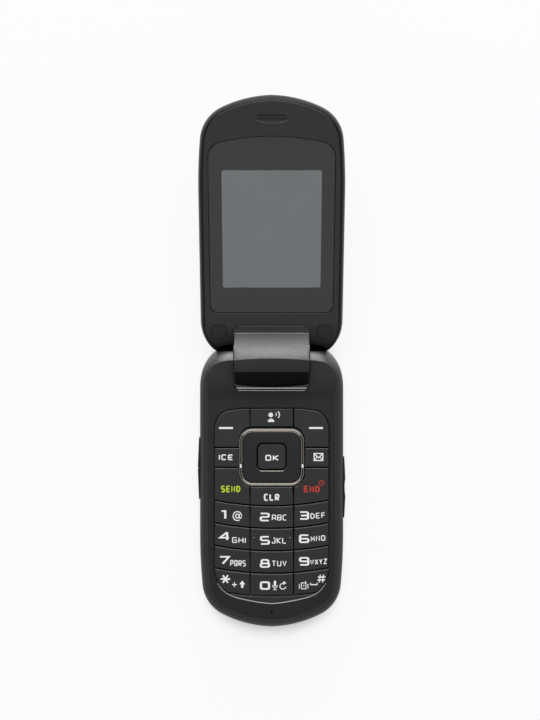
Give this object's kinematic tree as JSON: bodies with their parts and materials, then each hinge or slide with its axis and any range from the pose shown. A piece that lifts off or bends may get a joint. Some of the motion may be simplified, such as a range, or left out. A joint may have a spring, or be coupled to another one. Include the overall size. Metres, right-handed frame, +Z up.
{
  "type": "clamshell mobile phone",
  "caption": "Open clamshell mobile phone: matt black base with keypad and navigation ring, tilting lid with display, crowned metallic hinge barrel, side keys and removable battery cover.",
  "frame": {"origin": "centre of the flat back of the base", "axes": "+X across the phone to the right of the keypad as read, +Y from the keypad's lower end towards the lid, +Z up out of the keypad face"},
  "size_m": [0.0502, 0.1753, 0.0452],
  "materials": {
    "soft_black": "soft-touch matt black",
    "rear_black": "fine-textured matt black",
    "gloss_black": "polished black",
    "side_key_black": "satin black",
    "key_black": "matt black with printed legends",
    "nav_black": "satin black",
    "nav_carrier_plastic": "moulded",
    "chrome_trim": "bright plated",
    "barrel_grey": "dark metallic flake lacquer",
    "steel": "plain",
    "gold_contact": "plated",
    "board_green": "solder mask",
    "battery_wrap": "plain wrap",
    "socket_plastic": "moulded",
    "flex_amber": "polyimide film",
    "lens_clear": "clear with a black printed border",
    "outer_lens_dark": "dark tinted",
    "display_grey": "unlit panel",
    "bumper_rubber": "matt"
  },
  "bodies": {
    "base": {"base_front_housing": "soft_black", "base_rear_housing": "rear_black", "battery": "battery_wrap", "battery_contacts": "gold_contact", "main_board": "board_green", "shield_cans": "steel", "keypad_domes": "steel", "microphone": "steel", "loudspeaker": "socket_plastic", "vibration_motor": "steel", "charge_socket": "steel", "headset_jack": "socket_plastic", "antenna": "gold_contact", "side_switches": "steel", "housing_screws": "steel", "hinge_shaft": "steel"},
    "lid": {"lid_inner_housing": "soft_black", "lid_outer_cover": "gloss_black", "hinge_barrel": "barrel_grey", "hinge_cartridge": "steel", "hinge_sleeve": "steel", "hinge_flex": "flex_amber", "display_lens": "lens_clear", "main_display": "display_grey", "display_board": "board_green", "outer_lens": "outer_lens_dark", "sub_display": "display_grey", "camera_module": "socket_plastic", "earpiece": "socket_plastic", "lid_bumpers": "bumper_rubber", "lid_screws": "steel"},
    "soft_key_left": {"soft_key_left": "key_black"},
    "soft_key_right": {"soft_key_right": "key_black"},
    "speaker_key": {"speaker_key": "key_black"},
    "ice_key": {"ice_key": "key_black"},
    "message_key": {"message_key": "key_black"},
    "send_key": {"send_key": "key_black"},
    "end_key": {"end_key": "key_black"},
    "clear_key": {"clear_key": "key_black"},
    "key_1": {"key_1": "key_black"},
    "key_2": {"key_2": "key_black"},
    "key_3": {"key_3": "key_black"},
    "key_4": {"key_4": "key_black"},
    "key_5": {"key_5": "key_black"},
    "key_6": {"key_6": "key_black"},
    "key_7": {"key_7": "key_black"},
    "key_8": {"key_8": "key_black"},
    "key_9": {"key_9": "key_black"},
    "key_star": {"key_star": "key_black"},
    "key_0": {"key_0": "key_black"},
    "key_hash": {"key_hash": "key_black"},
    "ok_key": {"ok_key": "key_black"},
    "volume_rocker": {"volume_rocker": "side_key_black"},
    "side_key": {"side_key": "side_key_black"},
    "port_cover": {"port_cover": "rear_black"},
    "jack_cover": {"jack_cover": "rear_black"},
    "battery_cover": {"battery_cover": "rear_black"},
    "nav_tilt": {"nav_carrier": "nav_carrier_plastic", "nav_ring": "chrome_trim"},
    "nav_pad": {"nav_pad": "nav_black"}
  },
  "joints": [
    {"name": "lid_hinge", "type": "hinge", "parent": "base", "child": "lid", "pos_m": [0, 0.04265, 0.00935], "axis": [1, 0, 0], "range_deg": [0, 156]},
    {"name": "soft_key_left_press", "type": "slide", "parent": "base", "child": "soft_key_left", "axis": [0, 0, -1], "range_m": [0, 0.0003], "stiffness_N_per_m": 600},
    {"name": "soft_key_right_press", "type": "slide", "parent": "base", "child": "soft_key_right", "axis": [0, 0, -1], "range_m": [0, 0.0003], "stiffness_N_per_m": 600},
    {"name": "speaker_key_press", "type": "slide", "parent": "base", "child": "speaker_key", "axis": [0, 0, -1], "range_m": [0, 0.0003], "stiffness_N_per_m": 600},
    {"name": "ice_key_press", "type": "slide", "parent": "base", "child": "ice_key", "axis": [0, 0, -1], "range_m": [0, 0.0003], "stiffness_N_per_m": 600},
    {"name": "message_key_press", "type": "slide", "parent": "base", "child": "message_key", "axis": [0, 0, -1], "range_m": [0, 0.0003], "stiffness_N_per_m": 600},
    {"name": "send_key_press", "type": "slide", "parent": "base", "child": "send_key", "axis": [0, 0, -1], "range_m": [0, 0.0003], "stiffness_N_per_m": 600},
    {"name": "end_key_press", "type": "slide", "parent": "base", "child": "end_key", "axis": [0, 0, -1], "range_m": [0, 0.0003], "stiffness_N_per_m": 600},
    {"name": "clear_key_press", "type": "slide", "parent": "base", "child": "clear_key", "axis": [0, 0, -1], "range_m": [0, 0.0003], "stiffness_N_per_m": 600},
    {"name": "key_1_press", "type": "slide", "parent": "base", "child": "key_1", "axis": [0, 0, -1], "range_m": [0, 0.0003], "stiffness_N_per_m": 600},
    {"name": "key_2_press", "type": "slide", "parent": "base", "child": "key_2", "axis": [0, 0, -1], "range_m": [0, 0.0003], "stiffness_N_per_m": 600},
    {"name": "key_3_press", "type": "slide", "parent": "base", "child": "key_3", "axis": [0, 0, -1], "range_m": [0, 0.0003], "stiffness_N_per_m": 600},
    {"name": "key_4_press", "type": "slide", "parent": "base", "child": "key_4", "axis": [0, 0, -1], "range_m": [0, 0.0003], "stiffness_N_per_m": 600},
    {"name": "key_5_press", "type": "slide", "parent": "base", "child": "key_5", "axis": [0, 0, -1], "range_m": [0, 0.0003], "stiffness_N_per_m": 600},
    {"name": "key_6_press", "type": "slide", "parent": "base", "child": "key_6", "axis": [0, 0, -1], "range_m": [0, 0.0003], "stiffness_N_per_m": 600},
    {"name": "key_7_press", "type": "slide", "parent": "base", "child": "key_7", "axis": [0, 0, -1], "range_m": [0, 0.0003], "stiffness_N_per_m": 600},
    {"name": "key_8_press", "type": "slide", "parent": "base", "child": "key_8", "axis": [0, 0, -1], "range_m": [0, 0.0003], "stiffness_N_per_m": 600},
    {"name": "key_9_press", "type": "slide", "parent": "base", "child": "key_9", "axis": [0, 0, -1], "range_m": [0, 0.0003], "stiffness_N_per_m": 600},
    {"name": "key_star_press", "type": "slide", "parent": "base", "child": "key_star", "axis": [0, 0, -1], "range_m": [0, 0.0003], "stiffness_N_per_m": 600},
    {"name": "key_0_press", "type": "slide", "parent": "base", "child": "key_0", "axis": [0, 0, -1], "range_m": [0, 0.0003], "stiffness_N_per_m": 600},
    {"name": "key_hash_press", "type": "slide", "parent": "base", "child": "key_hash", "axis": [0, 0, -1], "range_m": [0, 0.0003], "stiffness_N_per_m": 600},
    {"name": "ok_key_press", "type": "slide", "parent": "base", "child": "ok_key", "axis": [0, 0, -1], "range_m": [0, 0.0003], "stiffness_N_per_m": 600},
    {"name": "nav_tilt_up_down", "type": "hinge", "parent": "base", "child": "nav_tilt", "pos_m": [0, 0.01005, 0.0082], "axis": [1, 0, 0], "range_deg": [-1.2, 1.2], "stiffness_Nm_per_rad": 0.03},
    {"name": "nav_tilt_left_right", "type": "hinge", "parent": "nav_tilt", "child": "nav_pad", "pos_m": [0, 0.01005, 0.0087], "axis": [0, 1, 0], "range_deg": [-1.2, 1.2], "stiffness_Nm_per_rad": 0.03},
    {"name": "volume_rock", "type": "hinge", "parent": "base", "child": "volume_rocker", "pos_m": [-0.0225, 0.00605, 0.0052], "axis": [0, 0, 1], "range_deg": [-2, 2], "stiffness_Nm_per_rad": 0.05},
    {"name": "side_key_press", "type": "slide", "parent": "base", "child": "side_key", "axis": [-1, 0, 0], "range_m": [0, 0.0004], "stiffness_N_per_m": 600},
    {"name": "port_cover_hinge", "type": "hinge", "parent": "base", "child": "port_cover", "pos_m": [-0.0244, 0.02905, 0.00355], "axis": [0, 0, -1], "range_deg": [0, 95]},
    {"name": "jack_cover_hinge", "type": "hinge", "parent": "base", "child": "jack_cover", "pos_m": [0.0244, 0.02795, 0.00355], "axis": [0, 0, 1], "range_deg": [0, 95]},
    {"name": "battery_cover_slide", "type": "slide", "parent": "base", "child": "battery_cover", "axis": [0, -1, 0], "range_m": [0, 0.006]}
  ]
}
